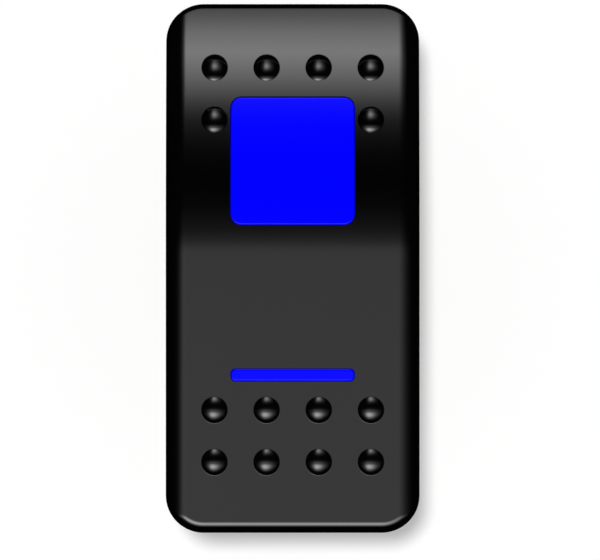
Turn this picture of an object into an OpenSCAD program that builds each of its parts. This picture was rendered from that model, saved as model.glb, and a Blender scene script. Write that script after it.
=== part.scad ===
// Panel rocker switch: sealed, two positions, double-pole changeover, with two lit lenses.
// The origin is the middle of the panel cut-out, in the plane of the panel's front face.
// +Z leaves the panel towards the operator, +Y is the upper end and X is the width.
// The rocker is drawn with its upper half pressed, so that its flat lower half lies along the panel.

/* [Rocker cap] */
// Width of the cap
cap_w = 24.1; // [22:0.1:28]
// Length of the cap
cap_l = 50.3; // [46:0.1:56]
// Radius of the cap's corners, seen from the front
cap_r = 3.6; // [2:0.1:5]
// Height of the flat lower half above the panel, with the upper half pressed
face_z = 14; // [13.5:0.1:16]
// Thickness of the cap's side walls
cap_side = 1.4; // [1.1:0.1:1.6]
// Thickness of the cap's roof
cap_roof = 1.6; // [1.2:0.1:1.8]
// Rounding along the cap's two long upper edges
side_edge_r = 2; // [1:0.1:2.3]
// Rounding round the upper edge of the cap's lower end
lower_edge_r = 1; // [0.5:0.1:1.3]
// Rounding along the upper edge of the cap's upper end
upper_edge_r = 0.5; // [0.3:0.05:0.8]
// Height of the skirt's rim above the panel on the pressed half
rim_z = 3.1; // [2.9:0.05:3.4]

/* [Face curve] */
// Place along the length where the flat face starts to roll away
roll_y = 1.5; // [1.3:0.1:3]
// Radius of the face's rolling upper half
roll_r = 36; // [34:0.5:45]

/* [Nubs] */
// Diameter of each nub at the face
nub_d = 2.55; // [2:0.05:3]
// Height of each nub above the face
nub_h = 0.45; // [0.3:0.05:0.6]
// Distance between neighbouring nubs across the cap
nub_pitch = 4.96; // [4.4:0.02:5.4]
// Distance of the uppermost row from the middle
nub_top_y = 19.03; // [18:0.01:20]
// Distance of the pair beside the main lens from the middle
nub_side_y = 14.08; // [13:0.01:15]
// Distance of the inner lower row from the middle
nub_inner_y = 13.5; // [13:0.01:14.5]
// Distance of the outer lower row from the middle
nub_outer_y = 18.43; // [17.5:0.01:20]

/* [Lenses] */
// Width of the main lens
lens_w = 11.86; // [10:0.02:12.4]
// Length of the main lens
lens_l = 12.15; // [10:0.05:12.4]
// Corner radius of the main lens
lens_r = 1.05; // [0.6:0.05:2]
// Distance of the main lens from the middle
lens_y = 10.2; // [10:0.05:10.6]
// Width of the bar lens
bar_w = 11.8; // [9:0.1:14]
// Length of the bar lens along the cap
bar_l = 1.18; // [1:0.02:1.6]
// Corner radius of the bar lens
bar_r = 0.48; // [0.3:0.02:0.5]
// Distance of the bar lens from the middle
bar_y = 10.2; // [9:0.05:11]
// Height of the lenses above the cap's face
lens_proud = 0.15; // [0.05:0.05:0.3]
// Width of the flange that holds each lens from below
lens_flange = 0.9; // [0.6:0.1:1]

/* [Pivot] */
// Height of the rocker's pivot above the panel
pivot_z = 5; // [4.8:0.05:5.2]
// Angle between the two positions
travel = 16; // [12:0.5:18]
// Diameter of the pivot pin
pin_d = 2.5; // [2:0.1:2.8]
// Thickness of the pivot ears
ear_t = 1.6; // [1.2:0.1:1.8]
// Radius of the pivot ears round the pin
ear_r = 2.6; // [2.2:0.05:2.7]
// Radius of the saddle's drum
drum_r = 5.2; // [4.8:0.1:5.6]
// Space between the saddle and each pivot ear
saddle_side = 1.5; // [1.4:0.1:1.9]

/* [Panel side] */
// Thickness of the housing's flange
flange_t = 1.9; // [1.6:0.1:2]
// Step of the flange inside the cap's outline
flange_step = 0.05; // [0:0.05:0.3]
// Thickness of the panel gasket
gasket_t = 0.8; // [0.5:0.1:0.9]
// Reach of the cap past the panel cut-out, at each end
seat_end = 6.735; // [6.5:0.005:7]
// Reach of the cap past the panel cut-out, at each side
seat_side = 1.51; // [1.3:0.01:1.6]
// Space between the housing's body and the cut-out, at each side
cutout_fit = 0.15; // [0.1:0.05:0.3]
// Wall of the housing's body
body_wall = 1.2; // [1:0.1:1.3]
// Depth of the housing's body behind the panel
body_depth = 16.5; // [15:0.5:18]
// Reach of the panel wings past the cut-out
wing_reach = 1.2; // [0.8:0.1:1.3]
// Width of the panel wings
wing_w = 9; // [7:0.5:11]

/* [Base and terminals] */
// Depth of the terminal base behind the panel
base_depth = 25; // [24:0.5:28]
// Thickness of the terminal base's floor
floor_t = 4; // [3:0.5:5]
// Wall of the terminal base's cup
cup_wall = 1; // [0.8:0.1:1.1]
// Width of a terminal blade
tab_w = 6.3; // [4.8:0.1:6.3]
// Thickness of a terminal blade
tab_t = 0.8; // [0.5:0.1:0.8]
// Length of a terminal blade below the base
tab_l = 8.5; // [7:0.5:10]
// Diameter of the latching hole in a terminal blade
tab_hole_d = 1.6; // [1.2:0.1:2]
// Distance of each terminal row outside the middle of its contact blade
row_step = 1.6; // [1.4:0.1:1.8]
// Distance of the lamp terminals inside the base's end walls
lamp_tab_in = 0.865; // [0.8:0.005:0.95]

/* [Contacts] */
// Width of a contact blade
blade_w = 4; // [3.4:0.1:4.2]
// Thickness of a contact blade
blade_t = 1; // [0.9:0.05:1.1]
// Reach of a contact blade past the middle of its contacts
blade_end = 2; // [1.8:0.1:2.2]
// Angle between the two positions of a contact blade
blade_swing = 12; // [10:0.5:12]
// Radius of the ridge that a contact blade rocks on
ridge_r = 0.45; // [0.35:0.05:0.5]
// Diameter of the moving contacts
moving_d = 3.2; // [2.6:0.1:3.4]
// Height of the moving contacts
moving_h = 0.6; // [0.4:0.05:0.7]
// Diameter of the fixed contacts
fixed_d = 3.4; // [2.8:0.1:3.6]
// Radius of the fixed contacts' dome
fixed_dome_r = 4; // [3:0.5:6]
// Diameter of the plungers
plunger_d = 3.4; // [3:0.1:3.6]
// Distance from the pivot to the plungers' tips
plunger_reach = 17.5; // [17:0.1:18]
// Length of a plunger
plunger_l = 8.9; // [8:0.1:10]
// Wire of the plunger springs
wire_d = 0.4; // [0.3:0.05:0.5]
// Number of turns in a plunger spring
spring_turns = 6; // [4:1:8]

/* [Lamps] */
// Distance of the lamps and their light guides from the middle
lamp_y = 10.5; // [10.4:0.05:10.6]
// Width of a light guide
guide_w = 7; // [5:0.2:8]
// Length of a light guide
guide_l = 3.2; // [2.8:0.1:3.4]
// Height of a light guide's top above the panel
guide_top = 6.4; // [5:0.1:6.8]
// Diameter of a lamp
lamp_d = 3; // [2.4:0.1:3]
// Distance between a lamp's two leads
lead_pitch = 2.54; // [2:0.02:2.6]
// Thickness of the lamp leads
lead_d = 0.5; // [0.4:0.05:0.6]
// Diameter of the series resistors
resistor_d = 1.8; // [1.4:0.1:1.9]
// Length of the series resistors
resistor_l = 4; // [3:0.2:5]

/* [Hidden] */
$fn = 48;
fit = 0.05;          // running and slip fits, per side
eps = 0.01;
far = 60;            // past every piece
col_black = [0.09, 0.09, 0.10];
col_moulding = [0.13, 0.13, 0.14];
col_rubber = [0.06, 0.06, 0.07];
col_blue = [0.05, 0.08, 0.95];
col_clear = [0.82, 0.88, 0.95];
col_steel = [0.72, 0.73, 0.75];
col_brass = [0.80, 0.66, 0.36];
col_copper = [0.78, 0.47, 0.30];
col_silver = [0.86, 0.87, 0.88];
col_resistor = [0.55, 0.68, 0.78];

// Face curve in the Y-Z plane: a flat and an arc that leaves it tangentially
roll_c = [roll_y, face_z - roll_r];
function roll_lean(y) = y > roll_y ? asin((y - roll_y) / roll_r) : 0;
function face_height(y) = face_z - roll_r * (1 - cos(roll_lean(y)));
end_angle = 50;      // past the upper end, seen from the arc's centre
past = 1;            // cutters reach this far past what they cut
skirt_in_w = cap_w - 2 * cap_side;
skirt_in_l = cap_l - 2 * cap_roof;
rim_bend_y = (pivot_z - rim_z) * tan(travel / 2);
flange_under = 1;    // thickness of the lenses' flanges under the roof
key_w = 1.8;
key_l = 4;
key_depth = 1.05;

clip_depth = 0.8;    // depth of the pin's blind bores in the side walls

// Housing
cutout_w = cap_w - 2 * seat_side;
cutout_l = cap_l - 2 * seat_end;
deck_z = gasket_t;
flange_z = gasket_t + flange_t;
flange_w = cap_w - 2 * flange_step;
flange_l = cap_l - 2 * flange_step;
flange_r = cap_r - flange_step;
body_w = cutout_w - 2 * cutout_fit;
body_l = cutout_l - 2 * cutout_fit;
body_in_w = body_w - 2 * body_wall;
body_in_l = body_l - 2 * body_wall;
ear_out = skirt_in_w / 2 - 0.35;
ear_in = ear_out - ear_t;
ear_foot = 2 * ear_r + 2;
pin_reach = skirt_in_w / 2 + 0.75;
wing_root_z = -13;
wing_top_z = -0.7;
wing_slot = 0.6;
wing_tail = 5;
wing_steps = 4;
wing_first = 0.5;
latch_w = 5;
latch_y = 9;
latch_z = -13;
latch_h = 2.5;

// Seal stack on the deck
saddle_w = 2 * (ear_in - saddle_side);
pin_clear = 0.2;
drum_gap = fit;
seal_wall = 1.35;
seal_in_l = 2 * drum_r + 0.1;
deck_hole_w = saddle_w + 0.6;
deck_hole_l = seal_in_l + 2.7;
seal_flange_t = 0.6;
retainer_t = 0.7;
stack_w = 2 * (ear_in - 0.3);
stack_l = deck_hole_l + 2.9;
peg_d = 1.2;
peg_x = 5;
peg_y = stack_l / 2 - 0.75;
retainer_in_l = 2 * drum_r + 0.8;

// Plungers and their barrels
barrel_wall = 0.85;
barrel_d = plunger_d + 2 * (fit + barrel_wall);
barrel_reach = 11;
bore_top = 3.1;
plunger_top = plunger_reach - plunger_l;
spring_d = plunger_d - 0.3;
blade_x = saddle_w / 2 - barrel_d / 2;
row_x = blade_x + row_step;

// Base
shoulder_z = -body_depth - 0.1;
base_w = body_w;
base_step = 1;
base_l = body_l - 2 * base_step;
cup_w = body_in_w - 0.2;
cup_step = 2.4;
cup_l = body_l - 2 * cup_step;
cup_in_w = cup_w - 2 * cup_wall;
cup_in_l = cup_l - 2 * cup_wall;
lamp_tab_y = cup_in_l / 2 - lamp_tab_in;
tab_pitch = lamp_tab_y * 19 / 28;
cup_top_z = -0.2;
floor_z = -base_depth + floor_t;
tab_shoulder = 1.1;
tab_bevel = 1;

// Contact blades
blade_rest = blade_swing / 2;
ridge_z = pivot_z - plunger_reach - fit - blade_t;
contact_y = tab_pitch;
blade_l = 2 * (contact_y + blade_end);
contact_gap = 0.03;
tail_d = 2.4;
tail_h = 0.35;
shank_d = 1.6;
fixed_c = ridge_z - (fixed_dome_r + contact_gap + moving_h + contact_y * sin(blade_swing / 2))
    / cos(blade_swing / 2);
foot_top = fixed_c + fixed_dome_r - 0.8;
foot_z = foot_top - tab_t;

// Lamps
guide_flange = 0.55;
guide_flange_t = 0.6;
guide_bottom = 0.2;
lamp_top = guide_bottom - 0.1;
lamp_h = 5;
lamp_rim_h = 1;
lamp_rim = 0.3;
lead_hole = 1;
resistor_gap = 1.1;
resistor_top = lamp_top - lamp_h - resistor_gap;

// ---- shared shapes ----

// Rectangle of width w along X and length l along Y with round corners
module round_rect(w, l, r) {
    square([w - 2 * r, l], center = true);
    square([w, l - 2 * r], center = true);
    for (x = [-1, 1], y = [-1, 1])
        translate([x * (w / 2 - r), y * (l / 2 - r)])
            circle(r = r);
}

// Plate of a rounded rectangle between two heights
module round_plate(w, l, r, z0, z1) {
    translate([0, 0, z0])
        linear_extrude(z1 - z0)
            round_rect(w, l, r);
}

// Box centred on X and Y between two heights
module block(w, l, z0, z1) {
    translate([-w / 2, -l / 2, z0])
        cube([w, l, z1 - z0]);
}

// Extrudes a Y-Z profile along X, centred on X
module along_x(w) {
    rotate([90, 0, 90])
        linear_extrude(w, center = true)
            children();
}

// Turns what moves with the rocker from its middle position to the rest position
module at_rest() {
    translate([0, 0, pivot_z])
        rotate([-travel / 2, 0, 0])
            translate([0, 0, -pivot_z])
                children();
}

module mirror_x(on) {
    mirror([on ? 1 : 0, 0, 0])
        children();
}

module mirror_y(on) {
    mirror([0, on ? 1 : 0, 0])
        children();
}

// ---- rocker ----

// Y-Z region below the face, at a depth under it
module below_face(depth, bottom) {
    translate([-far, bottom])
        square([far + roll_y, face_z - depth - bottom]);
    intersection() {
        translate(roll_c)
            circle(r = roll_r - depth, $fn = 240);
        translate([0, bottom])
            square([far, far]);
    }
}

// Corner to cut away, seen along an upper edge: x outwards and y upwards from the rounding's centre
module edge_corner(r) {
    difference() {
        square(r + past);
        circle(r = r);
    }
}

// Cutters that round the cap's right-hand upper edge along the flat and the rolling half
module side_edge_cut() {
    x0 = cap_w / 2 - side_edge_r;
    y0 = -cap_l / 2 - past;
    translate([x0, y0, face_z - side_edge_r])
        rotate([90, 0, 180])
            mirror([1, 0, 0])
                linear_extrude(roll_y - y0)
                    edge_corner(side_edge_r);
    translate([0, roll_c[0], roll_c[1]])
        rotate([0, 90, 0])
            rotate_extrude(start = 180 - end_angle, angle = end_angle, $fn = 240)
                translate([roll_r - side_edge_r, x0])
                    edge_corner(side_edge_r);
}

// Cutters that round the upper edge round the cap's lower end
module lower_end_cut() {
    r = lower_edge_r;
    x0 = cap_w / 2 - cap_r;
    y0 = -(cap_l / 2 - cap_r);
    translate([-x0, -cap_l / 2 + r, face_z - r])
        rotate([0, 90, 0])
            linear_extrude(2 * x0)
                rotate(180)
                    edge_corner(r);
    for (side = [0, 1])
        mirror_x(side)
            translate([x0, y0, face_z - r])
                rotate_extrude(start = -90, angle = 90)
                    translate([cap_r - r, 0])
                        edge_corner(r);
}

// Cutter that rounds the edge between the rolling half and the cap's upper end
module upper_end_cut() {
    r = upper_edge_r;
    lean = asin((cap_l / 2 - r - roll_y) / (roll_r - r));
    reach = 4 * r;
    along_x(cap_w + 2 * past)
        translate(roll_c + (roll_r - r) * [sin(lean), cos(lean)])
            difference() {
                polygon([[0, 0], [reach * sin(lean), reach * cos(lean)], [reach, reach], [reach, 0]]);
                circle(r = r);
            }
}

module cap_outside() {
    difference() {
        intersection() {
            along_x(cap_w + 2 * past)
                below_face(0, -1);
            round_plate(cap_w, cap_l, cap_r, -2, far);
        }
        side_edge_cut();
        mirror_x(1)
            side_edge_cut();
        lower_end_cut();
        upper_end_cut();
    }
}

// Everything below the skirt's rim, which is bent so that each half clears the flange when pressed
module below_rim() {
    along_x(cap_w + 2 * past)
        polygon([[far, -far], [far, rim_z], [-rim_bend_y, rim_z],
            [-far, rim_z + (far - rim_bend_y) * tan(travel)], [-far, -far]]);
}

// Dome that leans with the face and stays round when seen from the front
module nub(x, y) {
    lean = roll_lean(y);
    foot_r = nub_d / 2 / cos(lean);
    ball_r = (foot_r * foot_r + nub_h * nub_h) / (2 * nub_h);
    sink = ball_r - nub_h;
    z = face_height(y);
    intersection() {
        translate([x, y - sink * sin(lean), z - sink * cos(lean)])
            sphere(r = ball_r, $fn = 48);
        translate([x, y, z - 0.8 * cap_roof])
            cylinder(d = nub_d, h = 3 * cap_roof, $fn = 24);
    }
}

module nubs() {
    for (i = [-1.5:1:1.5]) {
        nub(i * nub_pitch, nub_top_y);
        nub(i * nub_pitch, -nub_inner_y);
        nub(i * nub_pitch, -nub_outer_y);
    }
    for (i = [-1.5, 1.5])
        nub(i * nub_pitch, nub_side_y);
}

// Prism of a lens or of its opening
module lens_prism(w, l, r, y) {
    translate([0, y, 0])
        round_plate(w, l, r, 0, far);
}

module cap_cavity() {
    intersection() {
        along_x(cap_w)
            below_face(cap_roof, -3);
        round_plate(skirt_in_w, skirt_in_l, cap_r - cap_side, -2, far);
    }
}

// Blind bore for one end of the pivot pin, with the slot that it snaps in through
module pin_clip() {
    translate([skirt_in_w / 2 - past, 0, pivot_z])
        rotate([0, 90, 0])
            cylinder(d = pin_d + 2 * fit, h = past + clip_depth);
    translate([skirt_in_w / 2 - past, -pin_d / 2 + 0.1, 0])
        cube([past + clip_depth, pin_d - 0.2, pivot_z]);
}

module rocker_cap() {
    color(col_black)
        union() {
            difference() {
                cap_outside();
                below_rim();
                cap_cavity();
                lens_prism(lens_w + 2 * fit, lens_l + 2 * fit, lens_r + fit, lens_y);
                lens_prism(bar_w + 2 * fit, bar_l + 2 * fit, bar_r + fit, -bar_y);
                for (side = [0, 1])
                    mirror_x(side)
                        pin_clip();
            }
            difference() {
                nubs();
                cap_cavity();
            }
            block(key_w, key_l, face_z - cap_roof - key_depth, face_z - cap_roof + 0.2);
        }
}

// Plate that follows the face between two depths, cut to a prism
module face_plate(top, bottom, w, l, r, y) {
    difference() {
        intersection() {
            along_x(w + 2)
                below_face(top, -1);
            lens_prism(w, l, r, y);
        }
        along_x(w + 2 * past)
            below_face(bottom, -2);
    }
}

// Lens that follows the face, with a flange under the cap's roof
module lens(w, l, r, y) {
    flange = 2 * lens_flange;
    color(col_blue)
        union() {
            face_plate(-lens_proud, cap_roof + flange_under, w, l, r, y);
            face_plate(cap_roof + 0.02, cap_roof + flange_under, w + flange, l + flange,
                r + lens_flange, y);
        }
}

module main_lens() {
    lens(lens_w, lens_l, lens_r, lens_y);
}

module bar_lens() {
    lens(bar_w, bar_l, bar_r, -bar_y);
}

// Axis of the pin as a cylinder of any size
module pivot_bar(d, w) {
    translate([-w / 2, 0, pivot_z])
        rotate([0, 90, 0])
            cylinder(d = d, h = w);
}

module saddle() {
    color(col_moulding)
        difference() {
            union() {
                at_rest() {
                    difference() {
                        pivot_bar(2 * drum_r, saddle_w);
                        block(saddle_w + 2, 4 * drum_r, pivot_z + 0.3, pivot_z + 2 * drum_r);
                    }
                    for (x = [-blade_x, blade_x])
                        translate([x, 0, pivot_z - barrel_reach])
                            cylinder(d = barrel_d, h = barrel_reach - drum_r / 2);
                }
                block(saddle_w, 2 * key_l - 3, pivot_z - 1, face_z - cap_roof - fit);
            }
            pivot_bar(pin_d, saddle_w + 2);
            block(key_w + 2 * fit, key_l + 2 * fit, face_z - cap_roof - key_depth - fit, face_z);
            at_rest()
                for (x = [-blade_x, blade_x])
                    translate([x, 0, pivot_z - barrel_reach - 1])
                        cylinder(d = plunger_d + 2 * fit, h = barrel_reach + 1 - bore_top);
        }
}

module pivot_pin() {
    chamfer = 0.3;
    color(col_steel)
        translate([0, 0, pivot_z])
            rotate([0, 90, 0])
                rotate_extrude()
                    polygon([[0, -pin_reach], [pin_d / 2 - chamfer, -pin_reach],
                        [pin_d / 2, -pin_reach + chamfer], [pin_d / 2, pin_reach - chamfer],
                        [pin_d / 2 - chamfer, pin_reach], [0, pin_reach]]);
}

// Plunger with a round tip that rides on the contact blade
module plunger(x) {
    tip_r = plunger_d / 2;
    color(col_clear)
        at_rest()
            translate([x, 0, pivot_z - plunger_reach])
                rotate_extrude()
                    intersection() {
                        union() {
                            translate([0, tip_r])
                                circle(r = tip_r);
                            translate([0, tip_r])
                                square([tip_r, plunger_l - tip_r]);
                        }
                        square([tip_r, plunger_l]);
                    }
}

module left_plunger() {
    plunger(-blade_x);
}

module right_plunger() {
    plunger(blade_x);
}

// One swept coil with closed ends, standing on z = 0
module coil(mean_r, length, turns, wire) {
    sides = 6;
    per_turn = 14;
    dead = 0.75;
    steps = turns * per_turn;
    rise = length - wire;
    lift = (rise - 2 * dead * wire) / (turns - 2 * dead);
    function height(t) = t < dead ? t * wire
        : t > turns - dead ? rise - (turns - t) * wire
        : dead * wire + (t - dead) * lift;
    points = [for (i = [0:steps], k = [0:sides - 1])
        let (t = i / per_turn, a = 360 * t, b = 360 * k / sides, r = mean_r + wire / 2 * cos(b))
            [r * cos(a), r * sin(a), wire / 2 + height(t) + wire / 2 * sin(b)]];
    walls = [for (i = [0:steps - 1], k = [0:sides - 1])
        let (n = (k + 1) % sides)
            [i * sides + k, i * sides + n, (i + 1) * sides + n, (i + 1) * sides + k]];
    start = [[for (k = [sides - 1:-1:0]) k]];
    finish = [[for (k = [0:sides - 1]) steps * sides + k]];
    polyhedron(points, concat(walls, start, finish));
}

module spring(x) {
    color(col_steel)
        at_rest()
            translate([x, 0, pivot_z - plunger_top + 0.02])
                coil((spring_d - wire_d) / 2, plunger_top - bore_top - 0.04, spring_turns, wire_d);
}

module left_spring() {
    spring(-blade_x);
}

module right_spring() {
    spring(blade_x);
}

// ---- housing and seals ----

module ear() {
    difference() {
        translate([ear_in, 0, 0])
            rotate([90, 0, 90])
                linear_extrude(ear_t) {
                    translate([0, pivot_z])
                        circle(r = ear_r);
                    polygon([[-ear_foot / 2, deck_z + 0.5], [-ear_r, pivot_z], [ear_r, pivot_z],
                        [ear_foot / 2, deck_z + 0.5]]);
                }
        pivot_bar(pin_d + 2 * fit, 2 * ear_out + 2);
    }
}

// Stepped panel wing: each step down holds a thicker panel
module wing() {
    wall_y = body_l / 2;
    step_h = (wing_top_z - wing_root_z - wing_tail) / wing_steps;
    grow = (cutout_fit + wing_reach - wing_first) / (wing_steps - 1);
    along_x(wing_w)
        polygon(concat([[wall_y - body_wall, wing_root_z - 1], [wall_y - body_wall, wing_top_z]],
            [for (i = [0:wing_steps - 1], k = [0, 1])
                [wall_y + wing_first + i * grow - k * 0.35,
                    wing_top_z - i * step_h - k * (step_h - 0.01)]],
            [[wall_y + wing_first + 3 * grow, wing_top_z - wing_steps * step_h],
                [wall_y, wing_root_z - 1]]));
}

// Opening round a wing, which leaves it joined to the end wall at its root
module wing_slots() {
    translate([0, body_l / 2 - body_wall / 2, 0])
        block(wing_w + 2 * wing_slot, body_wall + 1, wing_root_z, deck_z);
}

module bezel_housing() {
    color(col_moulding)
        union() {
            difference() {
                union() {
                    round_plate(flange_w, flange_l, flange_r, deck_z, flange_z);
                    round_plate(body_w, body_l, 1, -body_depth, deck_z + 0.5);
                }
                round_plate(body_in_w, body_in_l, 0.5, -body_depth - 1, deck_z);
                block(deck_hole_w, deck_hole_l, deck_z - 1, flange_z + 1);
                for (y = [-lamp_y, lamp_y])
                    translate([0, y, 0])
                        block(guide_w + 2 * fit, guide_l + 2 * fit, deck_z - 1, flange_z + 1);
                for (side = [0, 1]) {
                    mirror_y(side)
                        wing_slots();
                    mirror_x(side)
                        for (y = [-latch_y, latch_y])
                            translate([body_w / 2 - body_wall / 2, y, 0])
                                block(body_wall + 1, latch_w + 0.4, latch_z, latch_z + latch_h + 0.3);
                }
            }
            for (side = [0, 1]) {
                mirror_x(side)
                    ear();
                mirror_y(side)
                    wing();
            }
            for (x = [-peg_x, peg_x], y = [-peg_y, peg_y])
                translate([x, y, flange_z - 0.5])
                    cylinder(d = peg_d, h = 0.5 + seal_flange_t + retainer_t + 0.4);
        }
}

module panel_gasket() {
    color(col_rubber)
        difference() {
            round_plate(flange_w - 0.8, flange_l - 0.8, flange_r - 0.4, 0, gasket_t);
            round_plate(cutout_w + 0.12, cutout_l + 0.77, 1.2, -1, gasket_t + 1);
        }
}

module peg_holes() {
    for (x = [-peg_x, peg_x], y = [-peg_y, peg_y])
        translate([x, y, 0])
            cylinder(d = peg_d + 2 * fit, h = far);
}

module drum_seal() {
    color(col_rubber)
        difference() {
            union() {
                block(deck_hole_w, deck_hole_l, deck_z + 0.4, flange_z + 0.1);
                block(stack_w, stack_l, flange_z, flange_z + seal_flange_t);
            }
            pivot_bar(2 * (drum_r + drum_gap), saddle_w + 2 * fit);
            peg_holes();
        }
}

module seal_retainer() {
    z0 = flange_z + seal_flange_t;
    color(col_moulding)
        difference() {
            block(stack_w, stack_l, z0, z0 + retainer_t);
            block(saddle_w + 1, retainer_in_l, z0 - 1, z0 + retainer_t + 1);
            pivot_bar(pin_d + 2 * pin_clear, stack_w + 2 * past);
            peg_holes();
        }
}

// ---- lamps ----

module light_guide(y) {
    color(col_clear)
        translate([0, y, 0]) {
            block(guide_w, guide_l, guide_bottom, flange_z + 0.1);
            block(guide_w + 2 * guide_flange, guide_l + 2 * guide_flange, flange_z,
                flange_z + guide_flange_t);
            intersection() {
                block(guide_w, guide_l, flange_z, guide_top + 1);
                translate([0, 0, guide_top - 2 * guide_w])
                    rotate([90, 0, 0])
                        cylinder(r = 2 * guide_w, h = guide_l + 2, center = true, $fn = 180);
            }
        }
}

module upper_light_guide() {
    light_guide(lamp_y);
}

module lower_light_guide() {
    light_guide(-lamp_y);
}

// Round lamp with a dome above and a rim below
module lamp(y) {
    r = lamp_d / 2;
    color(col_clear)
        translate([0, y, lamp_top - lamp_h])
            difference() {
                union() {
                    cylinder(r = r, h = lamp_h - r);
                    translate([0, 0, lamp_h - r])
                        sphere(r = r, $fn = 32);
                    cylinder(r = r + lamp_rim, h = lamp_rim_h);
                }
                for (x = [-1, 1])
                    translate([x * lead_pitch / 2, 0, -past])
                        cylinder(d = lead_d, h = past + lead_hole);
            }
}

module upper_lamp() {
    lamp(lamp_y);
}

module lower_lamp() {
    lamp(-lamp_y);
}

// Wire from the lamp down, then level along Y to the lamp terminal
module feed_lead() {
    x = -lead_pitch / 2;
    turn_z = foot_z + 1;
    color(col_steel) {
        translate([x, lamp_y, turn_z])
            cylinder(d = lead_d, h = lamp_top - lamp_h + lead_hole - turn_z, $fn = 16);
        translate([x, lamp_y, turn_z])
            sphere(d = lead_d, $fn = 16);
        translate([x, lamp_y, turn_z])
            rotate([-90, 0, 0])
                cylinder(d = lead_d, h = lamp_tab_y - tab_t / 2 - lamp_y, $fn = 16);
    }
}

// Wire from the lamp down through the resistor, then level along X to a contact terminal's foot
module return_lead() {
    x = lead_pitch / 2;
    turn_z = foot_z + tab_t / 2;
    color(col_steel) {
        translate([x, lamp_y, turn_z])
            cylinder(d = lead_d, h = lamp_top - lamp_h + lead_hole - turn_z, $fn = 16);
        translate([x, lamp_y, turn_z])
            sphere(d = lead_d, $fn = 16);
        translate([x, lamp_y, turn_z])
            rotate([0, 90, 0])
                cylinder(d = lead_d, h = blade_x - blade_w / 2 - x, $fn = 16);
    }
}

module upper_lamp_feed_lead() {
    feed_lead();
}

module upper_lamp_return_lead() {
    return_lead();
}

module lower_lamp_feed_lead() {
    mirror_y(1)
        feed_lead();
}

module lower_lamp_return_lead() {
    mirror_y(1)
        return_lead();
}

module resistor(y) {
    color(col_resistor)
        translate([lead_pitch / 2, y, resistor_top - resistor_l])
            difference() {
                cylinder(d = resistor_d, h = resistor_l);
                translate([0, 0, -past])
                    cylinder(d = lead_d, h = resistor_l + 2 * past, $fn = 16);
            }
}

module upper_resistor() {
    resistor(lamp_y);
}

module lower_resistor() {
    resistor(-lamp_y);
}

// ---- contacts ----

// Turns what moves with a contact blade from level to its rest position
module blade_at_rest(x) {
    translate([x, 0, ridge_z])
        rotate([blade_rest, 0, 0])
            children();
}

module contact_blade(x) {
    color(col_copper)
        blade_at_rest(x)
            difference() {
                block(blade_w, blade_l, 0, blade_t);
                rotate([0, 90, 0])
                    cylinder(r = ridge_r + fit, h = blade_w + 2, center = true);
                for (y = [-contact_y, contact_y])
                    translate([0, y, -1])
                        cylinder(d = shank_d, h = blade_t + 2);
            }
}

module moving_contact(x, y) {
    color(col_silver)
        blade_at_rest(x)
            translate([0, y, 0]) {
                translate([0, 0, -moving_h])
                    cylinder(d = moving_d, h = moving_h);
                translate([0, 0, -0.1])
                    cylinder(d = shank_d, h = blade_t + 0.2);
                translate([0, 0, blade_t])
                    cylinder(d = tail_d, h = tail_h);
            }
}

module fixed_contact(x, y) {
    color(col_silver)
        translate([x, y, 0]) {
            intersection() {
                translate([0, 0, foot_top])
                    cylinder(d = fixed_d, h = 2);
                translate([0, 0, fixed_c])
                    sphere(r = fixed_dome_r, $fn = 120);
            }
            translate([0, 0, foot_z - 0.1])
                cylinder(d = shank_d, h = tab_t + 0.2);
            translate([0, 0, foot_z - tail_h])
                cylinder(d = tail_d, h = tail_h);
        }
}

module left_contact_blade() {
    contact_blade(-blade_x);
}

module right_contact_blade() {
    contact_blade(blade_x);
}

module left_upper_moving_contact() {
    moving_contact(-blade_x, contact_y);
}

module left_lower_moving_contact() {
    moving_contact(-blade_x, -contact_y);
}

module right_upper_moving_contact() {
    moving_contact(blade_x, contact_y);
}

module right_lower_moving_contact() {
    moving_contact(blade_x, -contact_y);
}

module left_upper_fixed_contact() {
    fixed_contact(-blade_x, contact_y);
}

module left_lower_fixed_contact() {
    fixed_contact(-blade_x, -contact_y);
}

module right_upper_fixed_contact() {
    fixed_contact(blade_x, contact_y);
}

module right_lower_fixed_contact() {
    fixed_contact(blade_x, -contact_y);
}

// ---- terminals and base ----

// Blade of a terminal in the Y-Z plane, centred on Y, from its tip up to a height
module tab_blade(top) {
    tip = -base_depth - tab_l;
    difference() {
        translate([-tab_t / 2, 0, 0])
            rotate([90, 0, 90])
                linear_extrude(tab_t) {
                    polygon([[-tab_w / 2 + tab_bevel, tip], [tab_w / 2 - tab_bevel, tip],
                        [tab_w / 2, tip + tab_bevel], [tab_w / 2, top], [-tab_w / 2, top],
                        [-tab_w / 2, tip + tab_bevel]]);
                    translate([-tab_w / 2 - tab_shoulder / 2, floor_z])
                        square([tab_w + tab_shoulder, 2.4]);
                }
        translate([-1, 0, tip + tab_l / 2 - 0.3])
            rotate([0, 90, 0])
                cylinder(d = tab_hole_d, h = 2);
    }
}

// Foot of a contact terminal, bent inwards from the top of its blade
module tab_foot() {
    inner = blade_x - blade_w / 2;
    translate([inner, -tab_w / 2, foot_z])
        cube([row_x + tab_t / 2 - inner, tab_w, tab_t]);
}

module contact_terminal(side, y) {
    color(col_brass)
        mirror_x(side)
            translate([0, y, 0])
                difference() {
                    union() {
                        translate([row_x, 0, 0])
                            tab_blade(foot_top);
                        tab_foot();
                    }
                    translate([blade_x, 0, foot_z - 1])
                        cylinder(d = shank_d, h = tab_t + 2);
                }
}

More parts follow.
